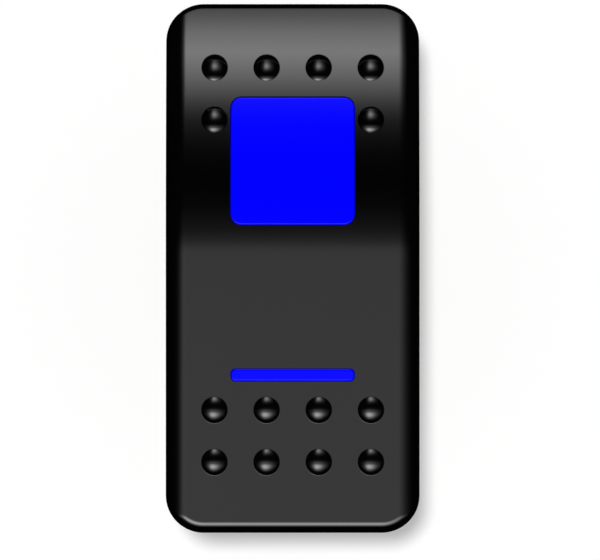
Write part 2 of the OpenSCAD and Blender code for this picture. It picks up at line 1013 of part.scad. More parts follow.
// Middle terminal: its foot carries the ridge that the contact blade rocks on
module ridge_terminal(side) {
    ridge_l = blade_w - 0.2;
    color(col_brass)
        mirror_x(side) {
            translate([row_x, 0, 0])
                tab_blade(foot_top);
            tab_foot();
            translate([blade_x, 0, 0])
                block(ridge_l, 2 * ridge_r, foot_top - 0.2, ridge_z);
            translate([blade_x, 0, ridge_z])
                rotate([0, 90, 0])
                    cylinder(r = ridge_r, h = ridge_l, center = true);
        }
}

// Lamp terminal: its blade stands across the width
module lamp_terminal(side) {
    color(col_brass)
        mirror_y(side)
            translate([0, lamp_tab_y, 0])
                rotate(90)
                    tab_blade(foot_z + 2);
}

module terminal_1() {
    contact_terminal(1, tab_pitch);
}

module terminal_2() {
    ridge_terminal(1);
}

module terminal_3() {
    contact_terminal(1, -tab_pitch);
}

module terminal_4() {
    contact_terminal(0, tab_pitch);
}

module terminal_5() {
    ridge_terminal(0);
}

module terminal_6() {
    contact_terminal(0, -tab_pitch);
}

module terminal_7() {
    lamp_terminal(0);
}

module terminal_8() {
    lamp_terminal(1);
}

// Wedge on the cup's side wall that snaps into a window of the housing
module base_latch() {
    x0 = cup_w / 2 - 0.2;
    x1 = body_w / 2 - 0.2;
    rotate([90, 0, 0])
        linear_extrude(latch_w, center = true)
            polygon([[x0, latch_z + 0.2], [x1, latch_z + 0.2], [x0, latch_z + latch_h]]);
}

module terminal_base() {
    color(col_moulding)
        difference() {
            union() {
                round_plate(base_w, base_l, 1, -base_depth, shoulder_z);
                round_plate(cup_w, cup_l, 0.8, shoulder_z - 1, cup_top_z);
                for (side = [0, 1])
                    mirror_x(side)
                        for (y = [-latch_y, latch_y])
                            translate([0, y, 0])
                                base_latch();
            }
            round_plate(cup_in_w, cup_in_l, 0.5, floor_z, cup_top_z + 1);
            for (x = [-row_x, row_x], y = [-tab_pitch, 0, tab_pitch])
                translate([x, y, 0])
                    block(tab_t + 2 * fit, tab_w + 2 * fit, -base_depth - 1, floor_z + 1);
            for (y = [-lamp_tab_y, lamp_tab_y])
                translate([0, y, 0])
                    block(tab_w + 2 * fit, tab_t + 2 * fit, -base_depth - 1, floor_z + 1);
        }
}

module base_seal() {
    color(col_rubber)
        difference() {
            round_plate(cup_w - 0.2, cup_l - 0.2, 0.7, cup_top_z, deck_z);
            round_plate(cup_in_w + 0.2, cup_in_l + 0.2, 0.6, cup_top_z - 1, deck_z + 1);
        }
}

rocker_cap();
main_lens();
bar_lens();
bezel_housing();
panel_gasket();
drum_seal();
seal_retainer();
saddle();
pivot_pin();
upper_light_guide();
lower_light_guide();
upper_lamp();
lower_lamp();
upper_lamp_feed_lead();
upper_lamp_return_lead();
lower_lamp_feed_lead();
lower_lamp_return_lead();
upper_resistor();
lower_resistor();
left_plunger();
right_plunger();
left_spring();
right_spring();
left_contact_blade();
right_contact_blade();
left_upper_moving_contact();
left_lower_moving_contact();
right_upper_moving_contact();
right_lower_moving_contact();
left_upper_fixed_contact();
left_lower_fixed_contact();
right_upper_fixed_contact();
right_lower_fixed_contact();
terminal_1();
terminal_2();
terminal_3();
terminal_4();
terminal_5();
terminal_6();
terminal_7();
terminal_8();
terminal_base();
base_seal();
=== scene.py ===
"""Looks of the panel rocker switch: cap, grip domes, lit lenses, moulded housing and metal."""

import math

import bmesh
import bpy
import numpy as np
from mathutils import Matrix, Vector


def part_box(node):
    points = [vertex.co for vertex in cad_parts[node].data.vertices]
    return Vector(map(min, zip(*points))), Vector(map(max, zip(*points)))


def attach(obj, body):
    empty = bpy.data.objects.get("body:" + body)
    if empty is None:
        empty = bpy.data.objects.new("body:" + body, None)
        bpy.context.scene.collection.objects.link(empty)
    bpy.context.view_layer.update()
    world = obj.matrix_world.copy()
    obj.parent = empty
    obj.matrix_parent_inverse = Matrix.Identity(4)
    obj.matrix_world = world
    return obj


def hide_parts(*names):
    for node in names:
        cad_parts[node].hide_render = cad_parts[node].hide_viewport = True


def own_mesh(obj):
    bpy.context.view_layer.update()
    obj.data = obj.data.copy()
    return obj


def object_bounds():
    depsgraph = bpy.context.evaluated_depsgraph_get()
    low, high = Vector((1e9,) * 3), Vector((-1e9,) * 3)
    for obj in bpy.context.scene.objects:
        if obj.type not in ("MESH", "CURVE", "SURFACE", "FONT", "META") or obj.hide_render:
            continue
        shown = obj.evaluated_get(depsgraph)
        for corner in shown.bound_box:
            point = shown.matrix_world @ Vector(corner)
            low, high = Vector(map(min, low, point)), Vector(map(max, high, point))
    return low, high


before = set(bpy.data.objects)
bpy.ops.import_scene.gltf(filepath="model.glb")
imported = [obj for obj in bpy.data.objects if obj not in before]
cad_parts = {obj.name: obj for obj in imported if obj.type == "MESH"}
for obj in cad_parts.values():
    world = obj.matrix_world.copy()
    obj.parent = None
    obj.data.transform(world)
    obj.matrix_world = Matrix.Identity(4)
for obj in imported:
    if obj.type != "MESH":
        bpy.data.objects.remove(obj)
CAD_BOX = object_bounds()

bl_info = {
    "name": "Panel rocker switch",
    "version": (1, 0, 0),
    "blender": (4, 5, 0),
    "location": "View3D > Sidebar > Rocker switch",
    "description": "Builds the finished surfaces of a panel rocker switch round its solid model",
    "category": "Add Mesh",
}

MM = 0.001
# the least step between rings, the least rounding of a lower edge, and its rings
FINE = 0.05 * MM
LEAST_RIM = 0.02 * MM
RIM_RINGS = 5
# height of the rocker's pivot above the panel
PIVOT_Z = 0.005
# where the side rounding starts to become shallower, as a share of the way to the upper corner
TAPER_START = 0.56
CAP_LOW, CAP_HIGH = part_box("rocker_cap")


def length(name, text, value):
    """A length in metres with a plain description."""
    return bpy.props.FloatProperty(
        name=name, description=text, default=value, unit="LENGTH", subtype="DISTANCE",
        precision=5, min=0.0,
    )


def colour(name, text, value):
    """A colour that a user can change."""
    return bpy.props.FloatVectorProperty(
        name=name, description=text, default=value, subtype="COLOR", size=3, min=0.0, max=1.0
    )


class RockerShape(bpy.types.PropertyGroup):
    """Sizes of the rocker's cap and lenses."""

    width: length("Width", "Width of the cap", float(CAP_HIGH[0] - CAP_LOW[0]))
    depth: length("Length", "Length of the cap", float(CAP_HIGH[1] - CAP_LOW[1]))
    corner: length("Corner", "Corner radius seen from the front", 0.0036)
    face: length("Face height", "Height of the flat lower half above the panel", 0.014)
    roll_start: length("Roll start", "Where the face starts to roll away", 0.0015)
    roll_radius: length("Roll radius", "Radius of the rolling upper half", 0.036)
    side_edge: length("Side edge", "Rounding along the long edges", 0.002)
    side_share: bpy.props.FloatProperty(
        name="Side share", description="Share of the side rounding's depth left at the upper end",
        default=0.75, min=0.0, max=1.0, subtype="FACTOR",
    )
    lower_edge: length("Lower edge", "Rounding round the lower end", 0.0011)
    upper_edge: length("Upper edge", "Rounding along the upper end", 0.0005)
    side_wall: length("Side wall", "Thickness of the side walls", 0.0014)
    roof: length("Roof", "Thickness of the roof", 0.0016)
    rim: length("Rim", "Height of the rim above the panel on the pressed half", 0.0031)
    rim_edge: length("Rim edge", "Rounding of the skirt's rim", 0.00018)
    travel: bpy.props.FloatProperty(
        name="Travel", description="Angle between the two positions",
        default=math.radians(16), subtype="ANGLE", unit="ROTATION",
    )
    dome_width: length("Dome width", "Diameter of a grip dome", 0.00251)
    dome_height: length("Dome height", "Height of a grip dome", 0.00045)
    lens_proud: length("Lens height", "Height of the lenses above the face", 0.00015)


class Finishes(bpy.types.PropertyGroup):
    """Colours of the finishes."""

    cap: colour("Cap", "Polished moulding of the cap", (0.0010, 0.0010, 0.0011))
    # blue of the lenses' painted glow; their own base colour is a small, dark share of it
    lens: colour("Lens", "Blue of the lit lenses", (0.0004, 0.0003, 1.0))
    housing: colour("Housing", "Moulding of the housing", (0.018, 0.018, 0.019))
    base: colour("Base", "Moulding of the terminal base", (0.030, 0.030, 0.031))
    saddle: colour("Saddle", "Moulding of the saddle", (0.045, 0.045, 0.047))
    rubber: colour("Rubber", "Gasket and seals", (0.014, 0.014, 0.014))
    plunger: colour("Plunger", "Natural plastic of the plungers", (0.72, 0.68, 0.58))
    clear: colour("Clear", "Light guides and lamps", (0.80, 0.87, 0.95))
    resistor: colour("Resistor", "Lacquer of the resistors", (0.36, 0.52, 0.66))
    brass: colour("Brass", "Terminals", (0.80, 0.63, 0.33))
    copper: colour("Copper", "Contact blades", (0.78, 0.42, 0.27))
    silver: colour("Silver", "Contacts", (0.86, 0.85, 0.83))
    steel: colour("Steel", "Pivot pin and springs", (0.60, 0.61, 0.63))


# ---- surfaces ----


def make_piece(name, points, faces, smooth=40):
    """A mesh object from an array of points and the faces as rows of their indices."""
    mesh = bpy.data.meshes.new(name)
    mesh.from_pydata(points.tolist(), [], faces.tolist() if hasattr(faces, "tolist") else faces)
    mesh.validate()
    mesh.update()
    piece = bpy.data.objects.new(name, mesh)
    bpy.context.scene.collection.objects.link(piece)
    shade(piece, smooth)
    return piece


def shade(piece, angle):
    """Smooth shading, with an edge left sharp where its faces meet at more than the angle."""
    mesh = piece.data
    mesh.polygons.foreach_set("use_smooth", np.ones(len(mesh.polygons), bool))
    mesh.set_sharp_from_angle(angle=math.radians(angle))


def ring_quads(rows, columns, start=0):
    """Faces of a grid whose rows are closed rings, as four indices each."""
    i, j = np.meshgrid(np.arange(rows - 1), np.arange(columns), indexing="ij")
    k = (j + 1) % columns
    low, high = i * columns, (i + 1) * columns
    return start + np.stack([low + j, low + k, high + k, high + j], -1).reshape(-1, 4)


def plan_grid(width, depth, radius, across, along):
    """Grid over a rounded rectangle: a row at each y, spread over the outline's width there.

    Half the width at y is the half width, less radius minus the root of radius squared minus
    squared distance of y past the corner's centre.
    """
    v = -np.cos(np.linspace(0, np.pi, along))
    u = np.sin(np.linspace(-np.pi / 2, np.pi / 2, across))
    y = v * depth / 2
    past = np.clip(np.abs(y) - (depth / 2 - radius), 0, radius)
    half = width / 2 - (radius - np.sqrt(np.maximum(radius**2 - past**2, 0)))
    return u[None, :] * half[:, None], np.repeat(y[:, None], across, 1)


def grid_outline(rows, columns):
    """Indices of a grid's border, counterclockwise, without repeats."""
    k = np.arange(rows * columns).reshape(rows, columns)
    return np.concatenate([k[0, :-1], k[:-1, -1], k[-1, :0:-1], k[:0:-1, 0]])


def pillow(width, depth, radius, edge, top, bottom, centre=0.0, *, across, along, steps, rim=0.0):
    """Closed body over a rounded rectangle, between a top and a bottom surface.

    The border of an inner grid is carried outwards along its normal in rings, with distances
    from the wall that follow a quarter circle, and each surface is a function of x, y and the
    distance from the wall. A rim rounding does the same below.
    """
    inset = min(edge, radius - FINE)
    x, y = plan_grid(width - 2 * inset, depth - 2 * inset, radius - inset, across, along)
    border = grid_outline(along, across)
    inner = np.stack([x.ravel(), y.ravel()], 1)
    limit = np.array([width / 2 - radius, depth / 2 - radius])
    core = np.clip(inner[border], -limit, limit)
    out = inner[border] - core
    out /= np.maximum(np.linalg.norm(out, axis=1, keepdims=True), 1e-12)
    gaps = inset * (1 - np.sin(np.linspace(0, np.pi / 2, steps + 1)))[1:]
    low_inset = max(rim, LEAST_RIM)
    low_gaps = low_inset * (1 - np.cos(np.linspace(0, np.pi / 2, RIM_RINGS)))

    def lift(surface, flat, gap):
        """The plan points raised to a surface."""
        y = flat[:, 1] + centre
        return np.column_stack([flat[:, 0], y, surface(flat[:, 0], y, np.full(len(flat), gap))])

    parts = [lift(top, inner, inset)]
    parts += [lift(top, core + out * (radius - gap), gap) for gap in gaps]
    # a ring just under the wall's upper edge keeps the shading of the edge off the wall
    parts.append(parts[-1] - [0.0, 0.0, FINE])
    for gap in low_gaps:
        ring = lift(bottom, core + out * (radius - gap), gap)
        ring[:, 2] += sagitta(low_inset, gap)
        parts.append(ring)
    parts.append(lift(bottom, inner, inset))
    points = np.concatenate(parts)

    count, n = len(inner), len(border)
    k = np.arange(count).reshape(along, across)
    face = np.stack([k[:-1, :-1], k[:-1, 1:], k[1:, 1:], k[1:, :-1]], -1).reshape(-1, 4)
    between = steps + 1 + len(low_gaps)
    rings = [border] + [count + i * n + np.arange(n) for i in range(between)]
    last = count + between * n
    rings.append(last + border)
    walls = [np.stack([a, b, np.roll(b, -1), np.roll(a, -1)], -1)
             for a, b in zip(rings[:-1], rings[1:])]
    return points, np.concatenate([face, *walls, (last + face)[:, ::-1]])


def sagitta(r, gap):
    """Drop of an edge rounded to radius r, at a distance from the wall.

    It is r less the root of r squared minus (r - gap) squared.
    """
    return r - np.sqrt(np.maximum(r**2 - np.clip(r - gap, 0, None) ** 2, 0))


def face_surface(shape, depth_below, edge=None):
    """Height of the face at x and y, sunk square to it, and rounded towards the wall.

    The lower half is flat. The upper half is an arc that leaves it tangentially, so its height is
    the arc's centre plus the root of its radius squared minus squared distance past the start.
    The side rounding runs straight along the length, the end roundings follow the outline, and
    the lower of the two counts, so that they meet in a mitre at the corners. Towards the upper
    corners the side rounding becomes shallower by a smooth step along y.
    """
    centre = shape.face - shape.roll_radius

    def height(x, y, gap):
        if edge is None:
            drop = np.zeros_like(x)
        else:
            side, lower, upper = edge
            reach = shape.depth / 2 - shape.corner
            t = np.clip((y / reach - TAPER_START) / (1 - TAPER_START), 0, 1)
            share = 1 - (1 - shape.side_share) * t * t * (3 - 2 * t)
            drop = np.maximum(share * sagitta(side, shape.width / 2 - np.abs(x)),
                              sagitta(np.where(y < 0, lower, upper), gap))
        sunk = depth_below + drop
        past = np.maximum(y - shape.roll_start, 0)
        arc = np.sqrt(np.maximum((shape.roll_radius - sunk) ** 2 - past**2, 0)) + centre
        return np.where(past > 0, arc, shape.face - sunk)

    return height


def rim_surface(shape, lift=0.0):
    """Height of the skirt's rim: level on the pressed half, rising at the travel angle past it."""
    bend = (PIVOT_Z - shape.rim) * math.tan(shape.travel / 2)

    def height(x, y, gap):
        rise = np.maximum(-y - bend, 0) * math.tan(shape.travel)
        return shape.rim + rise + lift

    return height


def level(z):
    """A flat surface at one height."""
    return lambda x, y, gap: np.full_like(x, z)


def cut(piece, tool, operation="DIFFERENCE"):
    """Joins or cuts two closed bodies, and removes the tool."""
    step = piece.modifiers.new("step", "BOOLEAN")
    step.operation = operation
    step.solver = "MANIFOLD"
    step.object = tool
    bpy.context.view_layer.update()
    made = bpy.data.meshes.new_from_object(
        piece.evaluated_get(bpy.context.evaluated_depsgraph_get())
    )
    if not len(made.polygons):
        raise RuntimeError(f"{piece.name}: nothing was left after {tool.name}")
    piece.modifiers.clear()
    piece.data = made
    bpy.data.objects.remove(tool)


def drum(name, radius, start, stop, at_z, sides=48):
    """A closed cylinder along X."""
    a = np.linspace(0, 2 * np.pi, sides, endpoint=False)
    rings = [np.column_stack([np.full(sides, x), radius * np.cos(a), at_z + radius * np.sin(a)])
             for x in (start, stop)]
    quads = ring_quads(2, sides).tolist()
    quads += [list(range(sides))[::-1], list(range(sides, 2 * sides))]
    return make_piece(name, np.concatenate(rings), quads)


def brick(name, low, high):
    """A closed box from its lowest to its highest corner."""
    x, y, z = np.meshgrid(*[(a, b) for a, b in zip(low, high)], indexing="ij")
    faces = [[0, 1, 3, 2], [4, 6, 7, 5], [0, 4, 5, 1], [2, 3, 7, 6], [0, 2, 6, 4], [1, 5, 7, 3]]
    return make_piece(name, np.column_stack([x.ravel(), y.ravel(), z.ravel()]), faces)


# ---- finishes ----
# scales of noise are in waves a metre, and the height of a relief is in metres


class Graph:
    """Short way to write the node tree of a material or the world."""

    def __init__(self, owner, out="ShaderNodeOutputMaterial"):
        self.owner = owner
        owner.use_nodes = True
        self.tree = owner.node_tree
        self.tree.nodes.clear()
        self.surface = self.add(out).inputs["Surface"]

    def add(self, kind, **settings):
        """A new node with its settings."""
        node = self.tree.nodes.new(kind)
        for key, value in settings.items():
            setattr(node, key, value)
        return node

    def link(self, a, b):
        """Joins an output to an input."""
        self.tree.links.new(a, b)

    def at(self, kind):
        """Coordinates of the given kind."""
        return self.add("ShaderNodeTexCoord").outputs[kind]

    def set(self, node, **values):
        """Sets a node's inputs, each named with _ for a space."""
        for socket, value in values.items():
            node.inputs[socket.replace("_", " ")].default_value = value
        return node

    def principled(self, colour, rough, relief, **values):
        """A finish from its colour, roughness and relief, and numbers for other inputs."""
        shader = self.set(self.add("ShaderNodeBsdfPrincipled"), **values)
        for socket, source in (("Base Color", colour), ("Roughness", rough), ("Normal", relief)):
            self.link(source, shader.inputs[socket])
        self.link(shader.outputs[0], self.surface)
        return shader

    def seen(self, ray):
        """1 where the camera looks, straight, by gloss or through a clear piece, and else 0."""
        either = self.maths("MAXIMUM", ray.outputs["Is Camera Ray"], ray.outputs["Is Glossy Ray"])
        return self.maths("MAXIMUM", either, ray.outputs["Is Transmission Ray"])

    def maths(self, operation, a, b=0.0):
        """One sum of two values, each a socket or a number."""
        node = self.add("ShaderNodeMath", operation=operation)
        for socket, value in zip(node.inputs, (a, b)):
            if isinstance(value, (int, float)):
                socket.default_value = value
            else:
                self.link(value, socket)
        return node.outputs[0]

    def noise(self, scale, detail, stretch=(1, 1, 1)):
        """Noise on the object's own coordinates, drawn out along an axis where asked."""
        place = self.set(self.add("ShaderNodeMapping"), Scale=stretch)
        self.link(self.at("Object"), place.inputs["Vector"])
        node = self.set(self.add("ShaderNodeTexNoise"), Scale=scale, Detail=detail)
        self.link(place.outputs[0], node.inputs["Vector"])
        return node.outputs["Fac"]

    def spread(self, source, start, end, low=0.0, high=1.0, **settings):
        """The source's range from start to end, spread from low to high."""
        node = self.set(self.add("ShaderNodeMapRange", **settings), From_Min=start, From_Max=end,
                        To_Min=low, To_Max=high)
        self.link(source, node.inputs["Value"])
        return node.outputs["Result"]

    def between(self, source, low, high):
        """A noise's middle range, spread from low to high."""
        return self.spread(source, 0.3, 0.7, low, high)

    def shades(self, source, base, spread):
        """A colour that is darker and lighter than the base by the spread."""
        ramp = self.add("ShaderNodeValToRGB")
        for stop, factor in zip(ramp.color_ramp.elements, (1 - spread, 1 + spread)):
            stop.color = (*[min(1.0, c * factor) for c in base], 1)
        self.link(source, ramp.inputs["Fac"])
        return ramp.outputs["Color"]

    def bumps(self, source, strength, distance):
        """A relief from the source."""
        node = self.set(self.add("ShaderNodeBump"), Strength=strength, Distance=distance)
        self.link(source, node.inputs["Height"])
        return node.outputs["Normal"]


def graph_for(name):
    """An empty node tree for the material of that name."""
    return Graph(bpy.data.materials.get(name) or bpy.data.materials.new(name))


def moulded(name, base, rough, grain=2600, relief=6e-6, strength=0.25, spread=0.12, specular=0.5):
    """Moulded plastic or rubber: fine spark grain, a slow flow pattern and uneven gloss."""
    g = graph_for(name)
    fine, slow = g.noise(grain, 2), g.noise(140, 4, (1, 0.35, 1))
    g.principled(g.shades(slow, base, spread), g.between(slow, *rough),
                 g.bumps(fine, strength, relief), Specular_IOR_Level=specular)
    return g.owner


def metal(name, base, rough, stretch=(1, 1, 0.04), scale=5200):
    """Rolled, drawn or turned metal: fine lines one way and slow tarnish."""
    g = graph_for(name)
    lines, slow = g.noise(scale, 3, stretch), g.noise(420, 4)
    g.principled(g.shades(slow, base, 0.12), g.between(slow, *rough),
                 g.bumps(lines, 0.3, 3e-6), Metallic=1.0)
    return g.owner


def clear_plastic(name, base, rough=(0.05, 0.12)):
    """Clear resin with slight flow marks."""
    g = graph_for(name)
    slow = g.noise(300, 3)
    g.principled(g.shades(slow, base, 0.04), g.between(slow, *rough),
                 g.bumps(g.noise(1500, 2), 0.1, 3e-6), Transmission_Weight=0.85, IOR=1.5)
    return g.owner


def painted_glow_lens(name, base):
    """Lens with painted glow for a lamp behind it; only upward faces glow, so its border is painted
    dark.
    """
    g = graph_for(name)
    slow = g.noise(180, 3)
    # painted glow and painted shade: the lens emits blue where its faces look up, over a near-black
    # base colour, so its border shows dark
    shader = g.principled(
        g.shades(slow, [c * 0.04 for c in base], 0.05), g.between(slow, 0.14, 0.18),
        g.bumps(g.noise(2200, 2), 0.08, 3e-6), Specular_IOR_Level=0.12)
    g.link(g.shades(slow, base, 0.03), shader.inputs["Emission Color"])
    upright = g.add("ShaderNodeSeparateXYZ")
    g.link(g.at("Normal"), upright.inputs[0])
    g.link(g.spread(upright.outputs["Z"], 0.6, 0.85), shader.inputs["Emission Strength"])
    return g.owner


def finish(piece, look, *nodes, body, slot):
    """Gives a piece its material and body, and hides the solids that it stands for."""
    piece.data.materials.clear()
    piece.data.materials.append(look)
    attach(piece, body)
    if nodes:
        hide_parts(*nodes)


# ---- operators ----

# each lens: where its middle lies along the cap, width, length and corner radius, in metres
LENSES = ((0.01014, 0.01187, 0.01225, 0.00105), (-0.01017, 0.01181, 0.00125, 0.0005))
# middles of the domes, in millimetres: three rows of four, and two beside the large lens
DOMES = [(i * 4.945, y) for y in (19.03, -13.5, -18.43) for i in (-1.5, -0.5, 0.5, 1.5)]
DOMES += [(-7.42, 14.08), (7.42, 14.08)]


class MakeCap(bpy.types.Operator):
    """Build the cap: rounded roof, skirt with a bent rim, cavity, lens openings and pin bores"""

    bl_idname = "switch.make_cap"
    bl_label = "Cap"

    def execute(self, context):
        s, paint = context.scene.rocker_shape, context.scene.switch_finishes
        edge = (s.side_edge, s.lower_edge, s.upper_edge)
        # the fine rings reach a little further in than the widest rounding
        band = 0.0024
        cap = make_piece("cap", *pillow(
            s.width, s.depth, s.corner, band, face_surface(s, 0.0, edge), rim_surface(s),
            across=61, along=161, steps=40, rim=s.rim_edge))
        inside = make_piece("cap_cavity", *pillow(
            s.width - 2 * s.side_wall, s.depth - 2 * s.roof, s.corner - s.side_wall, 0.3 * MM,
            face_surface(s, s.roof), rim_surface(s, -MM), across=31, along=61, steps=3))
        cut(cap, inside)
        fit = 0.01 * MM
        for y0, wide, deep, r in LENSES:
            cut(cap, make_piece("opening", *pillow(
                wide + 2 * fit, deep + 2 * fit, r + fit, 0.1 * MM, level(0.03), level(0.0), y0,
                across=17, along=17, steps=2)))
        # blind bores for the ends of the pin, and the slots that they snap in through
        inner, bore, throat = s.width / 2 - s.side_wall, 0.0013, 0.00115
        for side in (-1, 1):
            a, b = sorted((side * (inner - 0.001), side * (inner + 0.0008)))
            cut(cap, drum("bore", bore, a, b, PIVOT_Z))
            cut(cap, brick("slot", (a, -throat, 0.0), (b, throat, PIVOT_Z)))
        # a key under the roof, which seats in the saddle
        x, y, top = 0.0009, 0.002, s.face - s.roof
        cut(cap, brick("key", (-x, -y, top - 0.00105), (x, y, top + 0.0002)), "UNION")
        shade(cap, 35)
        gloss = moulded("cap_polish", paint.cap, (0.08, 0.10), grain=1800, relief=1.5e-6,
                        strength=0.05, spread=0.1, specular=0.9)
        finish(cap, gloss, "rocker_cap", body="rocker", slot="cap_plastic")
        return {"FINISHED"}


def dome_section(width, height):
    """Half a section of a dome: distances from its middle, and heights above the face.

    It is a cap of a ball, whose radius is half the width squared plus the height squared, over
    twice the height. A small rounded foot follows, and a skirt sunk into the roof.
    """
    base, foot, sunk = width / 2, 0.03 * MM, 0.4 * MM
    ball = (base**2 + height**2) / (2 * height)
    out = base * np.sin(np.linspace(0, np.pi / 2, 24)[1:]) * 0.998
    rise = np.sqrt(ball**2 - out**2) - (ball - height)
    out = np.concatenate([out, [base + 0.3 * foot, base + foot, base + foot, 0.4 * base]])
    return out, np.concatenate([rise, [0.2 * foot, 0.0, -sunk, -sunk]])


class MakeGripDomes(bpy.types.Operator):
    """Build the fourteen grip domes on the face"""

    bl_idname = "switch.make_grip_domes"
    bl_label = "Grip domes"

    def execute(self, context):
        s, paint = context.scene.rocker_shape, context.scene.switch_finishes
        out, rise = dome_section(s.dome_width, s.dome_height)
        rows, n = len(out), 48
        around = np.linspace(0, 2 * np.pi, n, endpoint=False)
        surface = face_surface(s, 0.0)
        k = np.arange(n)
        after = (k + 1) % n
        points, faces = [], []
        for cx, cy in np.array(DOMES) * MM:
            x = (cx + out[:, None] * np.cos(around)).ravel()
            y = (cy + out[:, None] * np.sin(around)).ravel()
            pole = surface(np.array([cx]), np.array([cy]), None)[0]
            start = len(points) * (rows * n + 2)
            points.append(np.concatenate([
                np.column_stack([x, y, surface(x, y, None) + np.repeat(rise, n)]),
                [[cx, cy, pole + s.dome_height], [cx, cy, pole + rise[-1]]]]))
            top, last = start + rows * n, start + (rows - 1) * n
            faces += ring_quads(rows, n, start)[:, ::-1].tolist()
            faces += np.column_stack([start + k, start + after, np.full(n, top)]).tolist()
            faces += np.column_stack([last + after, last + k, np.full(n, top + 1)]).tolist()
        domes = make_piece("grip_domes", np.concatenate(points), faces, smooth=60)
        polish = moulded("dome_polish", paint.cap, (0.09, 0.11), grain=2400, relief=1e-6,
                         strength=0.04, spread=0.1, specular=0.9)
        finish(domes, polish, body="rocker", slot="cap_plastic")
        return {"FINISHED"}


class MakeLenses(bpy.types.Operator):
    """Build the two lenses with painted glow, which follow the face and carry a flange under the
    roof
    """

    bl_idname = "switch.make_lenses"
    bl_label = "Lenses"

    def execute(self, context):
        s, paint = context.scene.rocker_shape, context.scene.switch_finishes
        # the lenses glow with painted light, and their border is painted darker
        glow = painted_glow_lens("lens_blue", paint.lens)
        soft, lap = 0.0002, 0.0009
        top = face_surface(s, -s.lens_proud, (0.0, soft, soft))
        ledge, under = face_surface(s, s.roof + 0.02 * MM), face_surface(s, s.roof + MM)
        for name, (y0, wide, deep, r) in zip(("main_lens", "bar_lens"), LENSES):
            lens = make_piece("lit_" + name, *pillow(
                wide, deep, r, soft, top, under, y0, across=33, along=33, steps=5))
            flange = make_piece("flange", *pillow(
                wide + 2 * lap, deep + 2 * lap, r + lap, soft, ledge, under, y0,
                across=25, along=25, steps=2))
            cut(lens, flange, "UNION")
            shade(lens, 35)
            finish(lens, glow, name, body="rocker", slot="blue_lens")
        return {"FINISHED"}


def softened(node, radius):
    """Copy of a solid with its doubles merged, its flat faces whole and its edges rounded."""
    copy = bpy.data.objects.new("soft_" + node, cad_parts[node].data.copy())
    bpy.context.scene.collection.objects.link(copy)
    form = bmesh.new()
    form.from_mesh(copy.data)
    bmesh.ops.remove_doubles(form, verts=form.verts, dist=2e-7)
    bmesh.ops.dissolve_limit(
        form, angle_limit=math.radians(0.5), verts=form.verts, edges=form.edges)
    form.to_mesh(copy.data)
    form.free()
    bevel = copy.modifiers.new("edges", "BEVEL")
    bevel.width, bevel.segments = radius, 2
    bevel.limit_method, bevel.angle_limit = "ANGLE", math.radians(40)
    bevel.use_clamp_overlap = True
    bevel.harden_normals = True
    shade(copy, 35)
    return copy


class DressHousing(bpy.types.Operator):
    """Round the edges of the housing, base and gaskets and give them moulded finishes"""

    bl_idname = "switch.dress_housing"
    bl_label = "Housing, base and seals"

    def execute(self, context):
        paint = context.scene.switch_finishes
        shell = moulded("housing_moulding", paint.housing, (0.34, 0.5), relief=2.2e-5,
                        strength=0.7, spread=0.16)
        cup = moulded("base_moulding", paint.base, (0.45, 0.62), grain=2100, relief=2.6e-5,
                      strength=0.8, spread=0.2)
        rubber = moulded("gasket_rubber", paint.rubber, (0.62, 0.75), grain=1500, relief=1.2e-5,
                         strength=0.4, spread=0.15)
        for node, radius, look, slot in (
            ("bezel_housing", 0.00015, shell, "housing_plastic"),
            ("terminal_base", 0.00018, cup, "base_plastic"),
            ("panel_gasket", 0.00012, rubber, "gasket_rubber"),
        ):
            finish(softened(node, radius), look, node, body="housing", slot=slot)
        for node, look in (("seal_retainer", shell), ("drum_seal", rubber), ("base_seal", rubber)):
            dress(node, look)
        return {"FINISHED"}


def dress(node, look):
    """Puts a material into every slot of a solid's own object."""
    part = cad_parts[node]
    if not part.material_slots:
        part.data.materials.append(look)
    for place in part.material_slots:
        place.material = look


def make_spring(node, look, lean):
    """Coil spring in place of a solid one.

    At a share t of the turns the wire's middle is at the mean radius times cosine and sine of t,
    and rises by one wire a turn in the closed ends and evenly between them; round it, the wire is
    a circle. The whole leans with the rocker's rest position.
    """
    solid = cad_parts[node]
    flat = np.empty(len(solid.data.vertices) * 3)
    solid.data.vertices.foreach_get("co", flat)
    matrix = np.array(solid.matrix_world)
    axis = np.array([0.0, math.sin(lean), math.cos(lean)])
    up = np.array([0.0, math.cos(lean), -math.sin(lean)])
    basis = np.stack([[1.0, 0.0, 0.0], up, axis])
    seen = (flat.reshape(-1, 3) @ matrix[:3, :3].T + matrix[:3, 3]) @ basis.T
    low, high = seen.min(0), seen.max(0)
    outer, tall = (high[0] - low[0]) / 2, high[2] - low[2]
    foot = np.array([(low[0] + high[0]) / 2, (low[1] + high[1]) / 2, low[2]]) @ basis
    # the closed turns at each end lie wire on wire
    wire, turns, closed, slide = 0.4 * MM, 6.0, 0.75, 0.8 * MM
    steps, sides = 241, 14
    t = np.linspace(0, turns, steps)
    rise = np.interp(t, [0, closed, turns - closed, turns],
                     [0, closed * wire, tall - wire - closed * wire, tall - wire])
    turn = (2 * np.pi * t)[:, None]
    around = np.linspace(0, 2 * np.pi, sides, endpoint=False)[None]
    r = outer - wire / 2 + wire / 2 * np.cos(around)
    along = wire / 2 + rise[:, None] + wire / 2 * np.sin(around)
    points = (foot + (r * np.cos(turn))[..., None] * basis[0]
              + (r * np.sin(turn))[..., None] * up + along[..., None] * axis)
    quads = ring_quads(steps, sides).tolist()
    ends = [list(range(sides))[::-1], list(range((steps - 1) * sides, steps * sides))]
    coil = make_piece("coil_" + node, points.reshape(-1, 3), quads + ends)
    finish(coil, look, node, body="rocker", slot="steel")
    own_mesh(coil)


